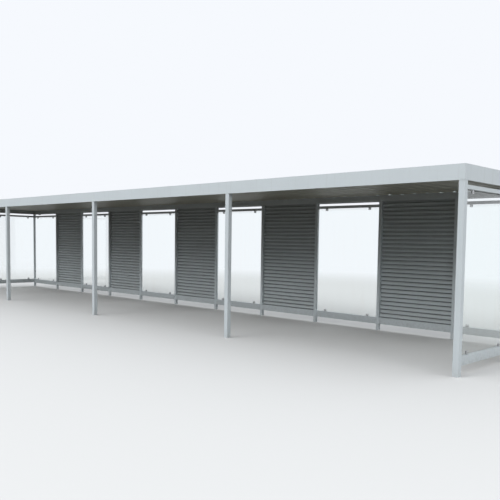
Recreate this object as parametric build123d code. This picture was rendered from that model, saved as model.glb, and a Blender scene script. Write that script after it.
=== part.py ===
from build123d import *
from math import floor, hypot
import os

# Long open-front shelter with a flat sheet roof. All lengths are millimetres.
# The origin is the middle of the footprint at floor level; +X runs along the
# front, +Y runs to the back wall and +Z is up. The open front looks along -Y.

# Plan of the shelter, outside face of the roof edge to outside face.
bay = 4100.0                    # one front bay, a quarter of the whole length
bay_count = 4                   # open bays along the front
back_field_count = 11           # wall fields along the back
wall_setback = 2785.0           # roof edge front face to front face of the back posts
gutter_width = 100.0            # trough between the back beam and the back roof edge

# Heights above the floor, and the fall of the roof to the back.
eaves_height = 2374.0           # underside of the front roof edge
roof_fall = 20.0                # drop of the roof from the front face to the back face

# Square tube posts.
front_post_size = 80.0
front_post_wall = 4.0
back_post_size = 60.0
back_post_wall = 3.0
corner_radius_to_wall = 1.5     # outer corner radius of a tube in wall thicknesses

# Beams under the roof sheet.
beam_height = 100.0
beam_width = 60.0
beam_wall = 4.0

# Folded roof edge that runs round all four sides.
edge_height = 194.0
edge_sheet = 3.0
edge_top_return = 60.0          # fold over the top, measured from the outer face
gutter_edge_return = 25.0       # narrower top fold beside the open gutter
edge_bottom_return = 20.0       # fold under the bottom, measured from the outer face
edge_drop = 10.0                # how far the edge hangs below the beams
notch_clearance = 1.0           # bottom fold round each post

# Trapezoidal roof sheet with its ribs running front to back.
rib_pitch = 250.0
rib_height = 33.0
rib_crown = 30.0                # flat on top of a rib
rib_foot = 76.0                 # width of a rib where it leaves the flat
roof_sheet_thickness = 1.0
roof_side_clearance = 3.0       # sheet to the roof edge left, right and front
roof_overhang = 35.0            # sheet beyond the back beam, over the trough

# Trough gutter behind the back beam.
gutter_depth = 70.0
gutter_sheet = 1.5
gutter_below_beam_top = 12.0
outlet_size = 60.0              # square outlet spout
outlet_length = 45.0
outlet_inset = 240.0            # outlet axis from the outer end of the roof edge

# Rails of the back wall.
bottom_rail_height = 120.0
bottom_rail_gap = 115.0         # open gap under the bottom rail
top_rail_height = 50.0
top_rail_depth = 50.0
top_rail_gap = 62.0             # open gap between the top rail and the back beam
rail_wall = 3.0

# Rails of the two end walls.
end_bottom_rail_gap = 130.0
end_bottom_rail_height = 115.0
end_top_rail_drop = 50.0        # open gap between roof edge and top rail

# Corrugated wall sheets with waves that lie level.
wave_pitch = 75.0
wave_depth = 22.0
wave_crown = 40.0               # flat of a wave toward the front
wave_trough = 15.0              # flat of a wave toward the back
wall_sheet_thickness = 1.0
wall_sheet_foot = 3.0           # part of a trough left below the first wave
wall_sheet_recess = 0.5         # back of the sheet inside the back face of the posts
wall_sheet_edge_gap = 1.5       # sheet edge to post, each side

# Clear glass panes and the small clamps that hold them.
glass_thickness = 8.0
glass_edge_gap = 12.0
clamp_width = 45.0
clamp_depth = 30.0
clamp_height = 45.0
clamp_slot_clearance = 1.0      # pane edge to the bottom of the slot
clamp_inset_share = 0.15        # clamp axis from the pane edge, share of the pane width

# Positions that follow from the sizes above.
length = bay * bay_count
depth = wall_setback + beam_width + gutter_width + edge_sheet
half = length / 2
front_y = -depth / 2
back_y = depth / 2
slope = roof_fall / depth
wall_y = front_y + wall_setback
post_face_y = front_y + edge_sheet
front_axis_y = post_face_y + front_post_size / 2
back_axis_y = wall_y + back_post_size / 2
end_axis_x = half - edge_sheet - front_post_size / 2
glass_y = wall_y + top_rail_depth / 2
front_pitch = 2 * end_axis_x / bay_count
field_pitch = 2 * end_axis_x / back_field_count
beam_back_face_y = wall_y + beam_width
middle_axis_y = (post_face_y + front_post_size + wall_y) / 2


def edge_bottom(y):
    """Height of the underside of the roof edge at a place along the depth."""
    return eaves_height - slope * (y - front_y)


def roof_level(y):
    """Height of the seat of the roof sheet at a place along the depth."""
    return edge_bottom(y) + edge_drop + beam_height


front_beam_top = roof_level(post_face_y + beam_width)
back_beam_top = roof_level(beam_back_face_y)
front_post_height = roof_level(post_face_y + front_post_size) - beam_height
back_post_height = back_beam_top - beam_height
top_rail_low = back_post_height - top_rail_gap - top_rail_height
middle_post_height = roof_level(middle_axis_y + back_post_size / 2) - beam_height


def block(x0, x1, y0, y1, z0, z1):
    """Plain block between six limits."""
    box = Box(x1 - x0, y1 - y0, z1 - z0)
    return Pos((x0 + x1) / 2, (y0 + y1) / 2, (z0 + z1) / 2) * box


def tube_post(x, y, size, wall, height):
    """Square tube with rounded corners that stands on the floor."""
    radius = wall * corner_radius_to_wall
    bore = size - 2 * wall
    section = RectangleRounded(size, size, radius)
    section -= Rectangle(bore, bore)
    return Pos(x, y, 0) * extrude(section, height)


def level_tube(x0, x1, y0, z0, width, height, wall):
    """Rectangular tube along X, from its front lower edge."""
    y1, z1 = y0 + width, z0 + height
    outer = block(x0, x1, y0, y1, z0, z1)
    return outer - block(x0, x1, y0 + wall, y1 - wall, z0 + wall, z1 - wall)


def side_slab(x0, x1, corners):
    """Flat slab across X whose outline is a list of (y, z) corners."""
    outline = make_face(Polyline([(x0, y, z) for y, z in corners], close=True))
    return extrude(outline, x1 - x0, dir=(1, 0, 0))


def falling_bar(x0, x1, y0, y1, low, height):
    """Bar along Y with plumb ends; low(y) gives its underside."""
    corners = [(y0, low(y0)), (y1, low(y1)), (y1, low(y1) + height), (y0, low(y0) + height)]
    return side_slab(x0, x1, corners)


def falling_tube(x0, x1, y0, y1, low, height, wall):
    """Rectangular tube along Y that falls with the roof."""
    outer = falling_bar(x0, x1, y0, y1, low, height)
    return outer - falling_bar(x0 + wall, x1 - wall, y0, y1, lambda y: low(y) + wall, height - 2 * wall)


def thick_outline(points, thickness):
    """Closed outline of a folded sheet, from the points on its lower face."""
    upper = []
    for i, (x, z) in enumerate(points):
        x0, z0 = points[max(i - 1, 0)]
        x1, z1 = points[min(i + 1, len(points) - 1)]
        before, after = (x - x0, z - z0), (x1 - x, z1 - z)
        before = before if i else after
        after = after if i < len(points) - 1 else before
        a, b = hypot(*before), hypot(*after)
        nx, nz = -before[1] / a - after[1] / b, before[0] / a + after[0] / b
        size = nx * nx + nz * nz
        upper.append((x + 2 * thickness * nx / size, z + 2 * thickness * nz / size))
    return points + upper[::-1]


def front_post_x(i):
    """Axis of a front post, counted from the left end."""
    return -end_axis_x + i * front_pitch


def back_post_x(i):
    """Axis of a back post, counted from the left end."""
    return -end_axis_x + i * field_pitch


def field_limits(i):
    """Clear width of a back wall field, between the faces of its posts."""
    return back_post_x(i) + back_post_size / 2, back_post_x(i + 1) - back_post_size / 2


def end_field_limits(i):
    """Clear depth of an end wall field: 0 in front of the middle post, 1 behind."""
    middle = back_post_size / 2
    if i == 0:
        return post_face_y + front_post_size, middle_axis_y - middle
    return middle_axis_y + middle, wall_y


def front_posts():
    """Five posts along the open front."""
    return [tube_post(front_post_x(i), front_axis_y, front_post_size, front_post_wall,
                      front_post_height) for i in range(bay_count + 1)]


def back_posts():
    """Twelve slimmer posts of the back wall."""
    return [tube_post(back_post_x(i), back_axis_y, back_post_size, back_post_wall,
                      back_post_height) for i in range(back_field_count + 1)]


def middle_post(side):
    """Post halfway along an end wall; side is -1 left or 1 right."""
    return tube_post(side * end_axis_x, middle_axis_y, back_post_size, back_post_wall,
                     middle_post_height)


def long_beam(y0, top):
    """Beam along the whole length, inside the roof edge."""
    reach = half - edge_sheet
    return level_tube(-reach, reach, y0, top - beam_height, beam_width, beam_height, beam_wall)


def end_beam(side):
    """Beam along an end, between the front and the back beam."""
    outer = half - edge_sheet
    x0, x1 = sorted((side * outer, side * (outer - beam_width)))
    y0, y1 = post_face_y + beam_width, wall_y
    return falling_tube(x0, x1, y0, y1, lambda y: roof_level(y) - beam_height, beam_height, beam_wall)


def long_edge_profile(y_face, inward, low, top_return):
    """Folded roof edge along X; inward is 1 at the front and -1 at the back."""
    def strip(width, z0, z1):
        y0, y1 = sorted((y_face, y_face + inward * width))
        return block(-half, half, y0, y1, z0, z1)
    web = strip(edge_sheet, low, low + edge_height)
    top = strip(top_return, low + edge_height - edge_sheet, low + edge_height)
    return web + top + strip(edge_bottom_return, low, low + edge_sheet)


def end_edge_profile(side):
    """Folded roof edge along Y that falls with the roof."""
    def strip(width, lift, height):
        x0, x1 = sorted((side * half, side * (half - width)))
        return falling_bar(x0, x1, front_y, back_y, lambda y: edge_bottom(y) + lift, height)
    top = strip(edge_top_return, edge_height - edge_sheet, edge_sheet)
    return strip(edge_sheet, 0, edge_height) + top + strip(edge_bottom_return, 0, edge_sheet)


def mitre_prism(corners):
    """Upright prism over a plan outline, taller than the roof edge."""
    outline = make_face(Polyline([(x, y, 0) for x, y in corners], close=True))
    return extrude(outline, 2 * eaves_height)


def long_mitre(y_face, inward):
    """Plan of a front or back roof edge with its corners cut at 45 degrees."""
    w = edge_top_return
    return mitre_prism([(-half, y_face), (half, y_face),
                        (half - w, y_face + inward * w), (-half + w, y_face + inward * w)])


def end_mitre(side):
    """Plan of an end roof edge with its corners cut at 45 degrees."""
    w = edge_top_return
    return mitre_prism([(side * half, front_y), (side * half, back_y),
                        (side * (half - w), back_y - w), (side * (half - w), front_y + w)])


def post_notch(x, y, size):
    """Space that a post takes in the bottom fold of the roof edge."""
    reach = size / 2 + notch_clearance
    return block(x - reach, x + reach, y - size / 2, y + reach, 0, eaves_height + edge_sheet + 2)


def front_edge():
    """Front roof edge, notched round the front posts."""
    edge = long_edge_profile(front_y, 1, eaves_height, edge_top_return)
    edge &= long_mitre(front_y, 1)
    for i in range(bay_count + 1):
        edge -= post_notch(front_post_x(i), front_axis_y, front_post_size)
    return edge


def back_edge():
    """Back roof edge, behind the gutter."""
    low = edge_bottom(back_y)
    return long_edge_profile(back_y, -1, low, gutter_edge_return) & long_mitre(back_y, -1)


def end_edge(side):
    """End roof edge, notched round the corner and middle posts."""
    edge = end_edge_profile(side) & end_mitre(side)
    x = side * end_axis_x
    edge -= post_notch(x, front_axis_y, front_post_size)
    for y in (middle_axis_y, back_axis_y):
        reach = back_post_size / 2 + notch_clearance
        edge -= block(x - reach, x + reach, y - reach, y + reach, 0, edge_bottom(y) + edge_sheet + 2)
    return edge


def rib_points(middle):
    """Lower face of the sheet over one rib, from foot to foot."""
    foot, crown = rib_foot / 2, rib_crown / 2
    return [(middle - foot, 0.0), (middle - crown, rib_height),
            (middle + crown, rib_height), (middle + foot, 0.0)]


def roof_outline_points():
    """Lower face of the whole roof sheet across its ribs."""
    reach = half - edge_sheet - roof_side_clearance
    count = floor((2 * reach - rib_foot) / rib_pitch)
    points = [(-reach, 0.0)]
    for i in range(count + 1):
        points += rib_points((i - count / 2) * rib_pitch)
    return points + [(reach, 0.0)]


def roof_sheet():
    """Trapezoidal sheet that falls to the back and overhangs the gutter."""
    y0 = post_face_y + roof_side_clearance
    y1 = beam_back_face_y + roof_overhang
    outline = thick_outline(roof_outline_points(), roof_sheet_thickness)
    face = make_face(Polyline([(x, y0, roof_level(y0) + z) for x, z in outline], close=True))
    return extrude(face, y1 - y0, dir=Vector(0, 1, -slope))


def gutter():
    """Trough behind the back beam with an outlet spout near each end."""
    reach = half - edge_sheet
    y0, y1 = beam_back_face_y, back_y - edge_sheet
    z1 = back_beam_top - gutter_below_beam_top
    z0 = z1 - gutter_depth
    trough = block(-reach, reach, y0, y1, z0, z1)
    inner = reach - gutter_sheet
    trough -= block(-inner, inner, y0 + gutter_sheet, y1 - gutter_sheet, z0 + gutter_sheet, z1)
    for x in (-half + outlet_inset, half - outlet_inset):
        place = Pos(x, (y0 + y1) / 2, z0 - outlet_length)
        bore = outlet_size - 2 * gutter_sheet
        trough += place * extrude(Rectangle(outlet_size, outlet_size), outlet_length)
        trough -= place * extrude(Rectangle(bore, bore), outlet_length + gutter_depth / 2)
    return trough


def back_bottom_rails():
    """Deep rail at the foot of every back wall field."""
    return [level_tube(*field_limits(i), wall_y, bottom_rail_gap, back_post_size,
                       bottom_rail_height, rail_wall) for i in range(back_field_count)]


def glass_fields():
    """Numbers of the glazed back wall fields: every second one, from each end."""
    return range(0, back_field_count, 2)


def back_top_rails():
    """Rail over each glazed field, with an open gap to the roof beam."""
    return [level_tube(*field_limits(i), wall_y, top_rail_low, top_rail_depth, top_rail_height,
                       rail_wall) for i in glass_fields()]


def wave_points(z0, count):
    """Corrugated sheet as (height, depth) points: wide crowns, narrow troughs, steep flanks.

    Depth counts toward the front from the troughs. The lower edge lies in a trough.
    """
    flank = (wave_pitch - wave_crown - wave_trough) / 2
    points = [(z0, 0)]
    for k in range(count):
        z = z0 + wall_sheet_foot + k * wave_pitch
        points += [(z, 0), (z + flank, wave_depth), (z + flank + wave_crown, wave_depth),
                   (z + flank + wave_crown + flank, 0)]
    return points


def wall_sheet(i):
    """Corrugated sheet in a closed back wall field, from bottom rail to beam."""
    x0, x1 = field_limits(i)
    x0, x1 = x0 + wall_sheet_edge_gap, x1 - wall_sheet_edge_gap
    z0 = bottom_rail_gap + bottom_rail_height
    z1 = back_beam_top - beam_height
    y = wall_y + back_post_size - wall_sheet_recess
    count = floor((z1 - z0) / wave_pitch) + 2
    outline = thick_outline(wave_points(z0, count), wall_sheet_thickness)
    face = make_face(Polyline([(x0, y - out, z) for z, out in outline], close=True))
    sheet = extrude(face, x1 - x0, dir=(1, 0, 0))
    return sheet & block(x0 - 1, x1 + 1, wall_y - 50, wall_y + 150, z0, z1)


def back_pane(i):
    """Clear pane of a glazed back wall field."""
    x0, x1 = field_limits(i)
    gap = glass_edge_gap
    z0 = bottom_rail_gap + bottom_rail_height + gap
    z1 = top_rail_low - gap
    return block(x0 + gap, x1 - gap, glass_y - glass_thickness / 2,
                 glass_y + glass_thickness / 2, z0, z1)


def end_rails(side, low, height):
    """Pair of rails in an end wall, before and behind the middle post."""
    x0, x1 = side * end_axis_x - top_rail_depth / 2, side * end_axis_x + top_rail_depth / 2
    return [falling_tube(x0, x1, *end_field_limits(i), low, height, rail_wall) for i in (0, 1)]


def end_top_rail_low(y):
    """Underside of the top rail of an end wall."""
    return edge_bottom(y) - end_top_rail_drop - top_rail_height


def end_panes(side):
    """Clear panes of an end wall, before and behind the middle post."""
    x0 = side * end_axis_x - glass_thickness / 2
    z0 = end_bottom_rail_gap + end_bottom_rail_height + glass_edge_gap
    panes = []
    for i in (0, 1):
        y0, y1 = end_field_limits(i)
        y0, y1 = y0 + glass_edge_gap, y1 - glass_edge_gap
        top = [(y, end_top_rail_low(y) - glass_edge_gap) for y in (y1, y0)]
        panes.append(side_slab(x0, x0 + glass_thickness, [(y0, z0), (y1, z0)] + top))
    return panes


def clamp(way):
    """Clamp round a pane edge; way is 1 when it stands up from a rail, -1 when it hangs."""
    body = block(-clamp_width / 2, clamp_width / 2, -clamp_depth / 2, clamp_depth / 2, 0, clamp_height)
    slot = block(-clamp_width, clamp_width, -glass_thickness / 2, glass_thickness / 2,
                 glass_edge_gap - clamp_slot_clearance, clamp_height + 1)
    grip = body - slot
    return grip if way > 0 else Rot(180, 0, 0) * grip


def clamp_stations(start, end):
    """Two clamp axes along a pane that fills a field from start to end."""
    inset = clamp_inset_share * (end - start)
    return start + inset, end - inset


def back_clamps():
    """Four clamps for each pane of the back wall."""
    clamps = []
    for i in glass_fields():
        for x in clamp_stations(*field_limits(i)):
            clamps.append(Pos(x, glass_y, bottom_rail_gap + bottom_rail_height) * clamp(1))
            clamps.append(Pos(x, glass_y, top_rail_low) * clamp(-1))
    return clamps


def end_clamps(side):
    """Four clamps for each pane of an end wall."""
    clamps = []
    for i in (0, 1):
        for y in clamp_stations(*end_field_limits(i)):
            seat = end_top_rail_low(y + clamp_width / 2)
            low = end_bottom_rail_gap + end_bottom_rail_height
            clamps.append(Pos(side * end_axis_x, y, low) * Rot(0, 0, 90) * clamp(1))
            clamps.append(Pos(side * end_axis_x, y, seat) * Rot(0, 0, 90) * clamp(-1))
    return clamps


def save(name, shape):
    """Write one named piece, or several like pieces as one group."""
    shape = Compound(children=[s for part in shape for s in part.solids()]) if isinstance(shape, list) else shape
    export_step(shape, f"parts/{name}.step")


def build():
    """Write every piece of the shelter."""
    os.makedirs("parts", exist_ok=True)
    for i, post in enumerate(front_posts(), 1):
        save(f"front_post_{i}", post)
    for i, post in enumerate(back_posts(), 1):
        save(f"back_post_{i}", post)
    save("front_beam", long_beam(post_face_y, front_beam_top))
    save("back_beam", long_beam(wall_y, back_beam_top))
    save("front_roof_edge", front_edge())
    save("back_roof_edge", back_edge())
    save("roof_sheet", roof_sheet())
    save("rear_gutter", gutter())
    save("back_bottom_rails", back_bottom_rails())
    save("back_top_rails", back_top_rails())
    for n, i in enumerate(range(1, back_field_count, 2), 1):
        save(f"corrugated_panel_{n}", wall_sheet(i))
    for n, i in enumerate(glass_fields(), 1):
        save(f"back_glass_{n}", back_pane(i))
    save("back_glass_clamps", back_clamps())
    for word, side in (("left", -1), ("right", 1)):
        save(f"{word}_middle_post", middle_post(side))
        save(f"{word}_beam", end_beam(side))
        save(f"{word}_roof_edge", end_edge(side))
        save(f"{word}_bottom_rails", end_rails(side, lambda y: end_bottom_rail_gap, end_bottom_rail_height))
        save(f"{word}_top_rails", end_rails(side, end_top_rail_low, top_rail_height))
        save(f"{word}_glass", end_panes(side))
        save(f"{word}_glass_clamps", end_clamps(side))


build()
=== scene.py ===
"""Finishes and fine parts of a long open-front bike shelter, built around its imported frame.

All lengths are metres. +X runs along the front, +Y to the back wall and +Z is up.
"""

import logging
import math
from collections.abc import Callable, Iterator
from dataclasses import dataclass, field
from enum import Enum

import bpy
import numpy as np
from mathutils import Matrix, Vector


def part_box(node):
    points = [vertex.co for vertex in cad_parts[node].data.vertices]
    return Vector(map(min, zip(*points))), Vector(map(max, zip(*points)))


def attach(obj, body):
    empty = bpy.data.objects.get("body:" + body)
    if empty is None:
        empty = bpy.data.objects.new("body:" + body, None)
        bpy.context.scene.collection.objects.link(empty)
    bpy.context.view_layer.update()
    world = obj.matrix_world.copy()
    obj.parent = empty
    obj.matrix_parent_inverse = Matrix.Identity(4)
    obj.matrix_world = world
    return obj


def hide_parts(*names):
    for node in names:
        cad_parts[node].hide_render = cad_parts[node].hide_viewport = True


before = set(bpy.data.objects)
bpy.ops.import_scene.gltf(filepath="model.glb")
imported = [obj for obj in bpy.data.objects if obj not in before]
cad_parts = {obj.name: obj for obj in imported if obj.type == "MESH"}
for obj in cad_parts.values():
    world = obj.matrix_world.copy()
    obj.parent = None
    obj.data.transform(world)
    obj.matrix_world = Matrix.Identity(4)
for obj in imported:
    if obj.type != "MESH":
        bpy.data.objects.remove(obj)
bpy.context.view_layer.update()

Material = bpy.types.Material
Object = bpy.types.Object
Socket = bpy.types.NodeSocket
Colour = tuple[float, float, float]
Place = tuple[float, float, float]
Span = tuple[float, float]

LOG = logging.getLogger("bike_shelter")
BODY = "root"
# name of the vertex mark that tells a coat where to paint shade
SHADE_MARK = "recess"


def srgb(*parts: int) -> Colour:
    """Turns a display colour into the linear colour that a shader takes.

    Args:
        parts: red, green and blue of 0 to 255.

    Returns:
        The linear colour.
    """
    values = np.array(parts) / 255.0
    linear = np.where(values <= 0.04045, values / 12.92, ((values + 0.055) / 1.055) ** 2.4)
    return tuple(linear.tolist())


def axes(x: tuple, y: tuple, z: tuple) -> np.ndarray:
    """Rotation whose columns are the three given axes."""
    return np.array([x, y, z], float).T


PAINT = srgb(201, 209, 212)
# Kept light so that the rib flanks, which carry no painted shade, stand lighter than the flats.
SHEET_BACK = srgb(214, 214, 200)

FACING_FRONT = axes((1, 0, 0), (0, 0, 1), (0, -1, 0))
FACING_BACK = axes((-1, 0, 0), (0, 0, 1), (0, 1, 0))
FACING_DOWN = axes((1, 0, 0), (0, -1, 0), (0, 0, -1))
ALONG_Y = axes((0, 1, 0), (-1, 0, 0), (0, 0, 1))


class Slot(Enum):
    """Material slots of the record, one named for each kind of piece."""

    POSTS = "posts"
    RAILS = "rails"
    ROOF_EDGE = "roof_edge"
    ROOF_SHEET = "roof_sheet"
    WALL_SHEET = "wall_sheet"
    GUTTER = "gutter"
    GLASS = "glass"
    CLAMPS = "clamps"


class Side(Enum):
    """The two closed ends of the shelter, with the sign of their X."""

    LEFT = -1
    RIGHT = 1

    @property
    def word(self) -> str:
        """Name of the end, as its nodes are named."""
        return self.name.lower()


@dataclass
class Shape:
    """Vertices and faces of one or more closed surfaces.

    Attributes:
        points: vertex places, n by 3.
        faces: groups of faces with the same number of corners, each with a material number.
    """

    points: np.ndarray
    faces: list[tuple[np.ndarray, int]]

    def outward(self) -> "Shape":
        """Turns the faces round where the closed surface has its inside out.

        The volume is the sum of the signed tetrahedra from the origin to each triangle.

        Returns:
            The same shape with its faces pointing outwards.
        """
        volume = 0.0
        for corners, _ in self.faces:
            first = self.points[corners[:, 0]]
            for k in range(1, corners.shape[1] - 1):
                across = np.cross(self.points[corners[:, k]], self.points[corners[:, k + 1]])
                volume += float(np.einsum("ij,ij->", first, across))
        if volume < 0:
            self.faces = [(corners[:, ::-1], m) for corners, m in self.faces]
        return self

    def placed(self, at: object, turn: np.ndarray | None = None) -> "Shape":
        """Copies the shape to one or more places.

        Args:
            at: places of the copies, k by 3 or one point.
            turn: 3 by 3 rotation that is used before the move.

        Returns:
            One shape that holds all the copies.
        """
        at = np.atleast_2d(np.asarray(at, float))
        points = self.points if turn is None else self.points @ turn.T
        step = (np.arange(len(at)) * len(self.points))[:, None, None]
        faces = [((corners[None] + step).reshape(-1, corners.shape[1]), m) for corners, m in self.faces]
        return Shape((points[None] + at[:, None]).reshape(-1, 3), faces)

    def painted(self, material: int) -> "Shape":
        """Gives every face the material of that number."""
        return Shape(self.points, [(corners, material) for corners, _ in self.faces])


def joined(shapes: list[Shape]) -> Shape:
    """Puts several shapes into one, with the vertex numbers of each moved on.

    Args:
        shapes: the shapes.

    Returns:
        One shape that holds them all.
    """
    faces, start = [], 0
    for shape in shapes:
        faces += [(corners + start, m) for corners, m in shape.faces]
        start += len(shape.points)
    return Shape(np.concatenate([s.points for s in shapes]), faces)


def grid_quads(rows: int, cols: int, wrap: bool = False, close: bool = False) -> np.ndarray:
    """Corner numbers of the quads of a grid whose points are counted row by row.

    Args:
        rows: number of rows.
        cols: number of points in a row.
        wrap: whether the last column joins the first.
        close: whether the last row joins the first.

    Returns:
        Corner numbers, quads by 4.
    """
    index = np.arange(rows * cols).reshape(rows, cols)
    index = np.vstack([index, index[:1]]) if close else index
    index = np.hstack([index, index[:, :1]]) if wrap else index
    return np.stack([index[:-1, :-1], index[1:, :-1], index[1:, 1:], index[:-1, 1:]], -1).reshape(-1, 4)


def carried(rings: np.ndarray, closed: bool = False) -> Shape:
    """A closed profile carried along a path: surface(i, j) is corner j of the profile at stop i.

    Args:
        rings: the profile at each stop, stops by corners by 3.
        closed: whether the path runs back into its own start, so that it has no ends.

    Returns:
        The surface: its sides, then its start and its end where it has them.
    """
    stops, corners, _ = rings.shape
    faces = [(grid_quads(stops, corners, wrap=True, close=closed), 0)]
    if not closed:
        start = np.arange(corners)[None]
        faces += [(start, 0), (start[:, ::-1] + (stops - 1) * corners, 0)]
    return Shape(rings.reshape(-1, 3), faces).outward()


def thick_sheet(lower: np.ndarray, upper: np.ndarray) -> Shape:
    """A sheet between two surfaces on the same grid, closed round its four edges.

    Each edge is a strip of quads from the lower surface's rim to the upper one's.

    Args:
        lower: points of one face, rows by columns by 3.
        upper: points of the other face, on the same grid.

    Returns:
        The sheet, with its faces in the order lower, upper, edge.
    """
    rows, cols, _ = lower.shape
    total = rows * cols
    index = np.arange(total).reshape(rows, cols)
    rim = np.concatenate([index[0, :], index[1:, -1], index[-1, -2::-1], index[-2:0:-1, 0]])
    after = np.roll(rim, -1)
    edge = np.stack([rim, after, after + total, rim + total], -1)
    quads = grid_quads(rows, cols)
    points = np.concatenate([lower.reshape(-1, 3), upper.reshape(-1, 3)])
    return Shape(points, [(quads, 0), (quads[:, ::-1] + total, 0), (edge, 0)]).outward()


def rounded_outline(width: float, height: float, radius: float, steps: int) -> np.ndarray:
    """Points round a rectangle with quarter-circle corners.

    Corner k is turned by k quarter turns, and its arc is centre + radius (cos, sin).

    Args:
        width: size along the first axis.
        height: size along the second axis.
        radius: radius of the corners.
        steps: arc steps at each corner.

    Returns:
        The points, n by 2.
    """
    arc = np.linspace(0, math.pi / 2, steps + 1)
    angles = (arc[None] + np.arange(4)[:, None] * math.pi / 2).ravel()
    x = np.repeat([1, -1, -1, 1], steps + 1) * (width / 2 - radius) + radius * np.cos(angles)
    y = np.repeat([1, 1, -1, -1], steps + 1) * (height / 2 - radius) + radius * np.sin(angles)
    return np.stack([x, y], -1)


def rounded_block(width: float, depth: float, height: float, edge: float, steps: int = 2) -> Shape:
    """A block with all its edges rounded, centred on the origin.

    Each stop of the path up the block draws the plan in by s = edge (1 - cos a) with corners
    of radius 1.05 edge - 0.9 s, while a runs through a quarter turn at the foot and the head.

    Args:
        width: size along X.
        depth: size along Y.
        height: size along Z.
        edge: radius of the edges.
        steps: arc steps of an edge.

    Returns:
        The block.
    """
    a = np.linspace(math.pi / 2, 0, steps + 1)
    drawn_in, rise = edge * (1 - np.cos(a)), edge * (1 - np.sin(a))
    levels = np.concatenate([-height / 2 + rise, height / 2 - rise[::-1]])
    rings = []
    for s, z in zip(np.concatenate([drawn_in, drawn_in[::-1]]), levels):
        plan = rounded_outline(width - 2 * s, depth - 2 * s, edge * 1.05 - 0.9 * s, steps)
        rings.append(np.column_stack([plan, np.full(len(plan), z)]))
    return carried(np.array(rings))


def circles(radii: object, levels: object, steps: int = 12) -> np.ndarray:
    """Rings about the Z axis: point (i, a) is (r cos a, r sin a, z_i).

    Args:
        radii: radius of each ring, or the radii of each at every step.
        levels: height of each ring.
        steps: points round a ring.

    Returns:
        The points, rings by steps by 3.
    """
    a = np.arange(steps) * 2 * math.pi / steps
    level = np.array(levels)[:, None]
    radius = np.reshape(radii, (len(level), -1))
    return np.stack([radius * np.cos(a), radius * np.sin(a), level + 0 * a], -1)


def sheet_screw(washer: float, washer_thickness: float, across: float = 0.008, head: float = 0.0045,
                sink: float = 0.0005, steps: int = 12) -> Shape:
    """Hexagon head and washer of a sheet screw that stands on the XY plane.

    The head's radius is across / 2 / cos of the angle to the middle of the nearest flat.

    Args:
        washer: diameter of the washer.
        washer_thickness: thickness of the washer.
        across: width across the flats.
        head: height of the head over the washer.
        sink: how far the washer goes below the plane.
        steps: points round the screw.

    Returns:
        The screw.
    """
    a = np.arange(steps) * 2 * math.pi / steps
    to_flat = (a + math.pi / 6) % (math.pi / 3) - math.pi / 6
    hexagon = across / 2 / np.cos(to_flat)
    ring = np.full(steps, washer / 2)
    top = washer_thickness + head
    levels = [-sink, washer_thickness, washer_thickness * 1.15, top * 0.92, top]
    return carried(circles([ring, ring * 0.97, hexagon, hexagon, hexagon * 0.8], levels, steps))


def eased_ramp(t: np.ndarray, ease: float) -> np.ndarray:
    """A ramp from 0 to 1 whose two bends are rounded.

    It is the mean of a straight clamped ramp over a window of half width ease, from the
    differences of half the square of the positive part.

    Args:
        t: places along the ramp, 0 at its foot and 1 at its head.
        ease: half width of the window.

    Returns:
        The ramp at each place.
    """
    def half_square(x: np.ndarray) -> np.ndarray:
        """Half the square of the positive part."""
        return 0.5 * np.maximum(x, 0) ** 2

    rise = half_square(t + ease) - half_square(t - ease)
    fall = half_square(t + ease - 1) - half_square(t - ease - 1)
    return (rise - fall) / (2 * ease)


def offset_line(line: np.ndarray, distance: float) -> np.ndarray:
    """Moves a line in a plane sideways, along the normal of its slope at each point.

    Args:
        line: points of the line, n by 2.
        distance: how far it moves to its left.

    Returns:
        The moved points.
    """
    slope = np.gradient(line, axis=0)
    normal = np.stack([-slope[:, 1], slope[:, 0]], -1)
    return line + distance * normal / np.linalg.norm(normal, axis=1, keepdims=True)


def middle(node: str) -> np.ndarray:
    """Middle of the box of a frame node."""
    return (np.array(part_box(node)[0][:]) + np.array(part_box(node)[1][:])) / 2


def linked(name: str, data: bpy.types.ID) -> Object:
    """Makes an object at the origin from its data and puts it in the scene.

    Args:
        name: name of the object.
        data: mesh, camera or light.

    Returns:
        The object.
    """
    made = bpy.data.objects.new(name, data)
    bpy.context.scene.collection.objects.link(made)
    return made


def piece(name: str, shape: Shape, slot: Slot, materials: list[Material],
          smooth_below: float = 35.0) -> Object:
    """Makes a shape into an object at the origin that rides with the shelter.

    Args:
        name: name of the piece.
        shape: vertices and faces in the frame's own place.
        slot: material slot of the record; not used.
        materials: finishes, in the order of the faces' material numbers.
        smooth_below: angle in degrees under which an edge is shaded smooth.

    Returns:
        The new object.
    """
    mesh = bpy.data.meshes.new(name)
    corners = [face for group, _ in shape.faces for face in group.tolist()]
    mesh.from_pydata(shape.points.tolist(), [], corners)
    numbers = np.concatenate([np.full(len(group), m, np.int32) for group, m in shape.faces])
    for material in materials:
        mesh.materials.append(material)
    mesh.polygons.foreach_set("material_index", numbers)
    mesh.polygons.foreach_set("use_smooth", np.ones(len(numbers), bool))
    mesh.set_sharp_from_angle(angle=math.radians(smooth_below))
    mesh.validate()
    mesh.update()
    obj = linked(name, mesh)
    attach(obj, BODY)
    return obj


def mark_shade(obj: Object, mark: Callable[[np.ndarray], np.ndarray]) -> None:
    """Keeps a mark of 0 to 1 at each vertex, which tells a coat where to paint shade.

    Args:
        obj: object with a mesh.
        mark: gives the marks for the vertex places, n by 3.
    """
    places = np.empty(3 * len(obj.data.vertices), np.float32)
    obj.data.vertices.foreach_get("co", places)
    held = obj.data.attributes.new(SHADE_MARK, "FLOAT", "POINT")
    held.data.foreach_set("value", mark(places.reshape(-1, 3)).astype(np.float32))


def dress(names: list[str], material: Material) -> None:
    """Gives the material to every slot of the named frame nodes."""
    for held in (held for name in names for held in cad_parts[name].material_slots):
        held.material = material


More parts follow.
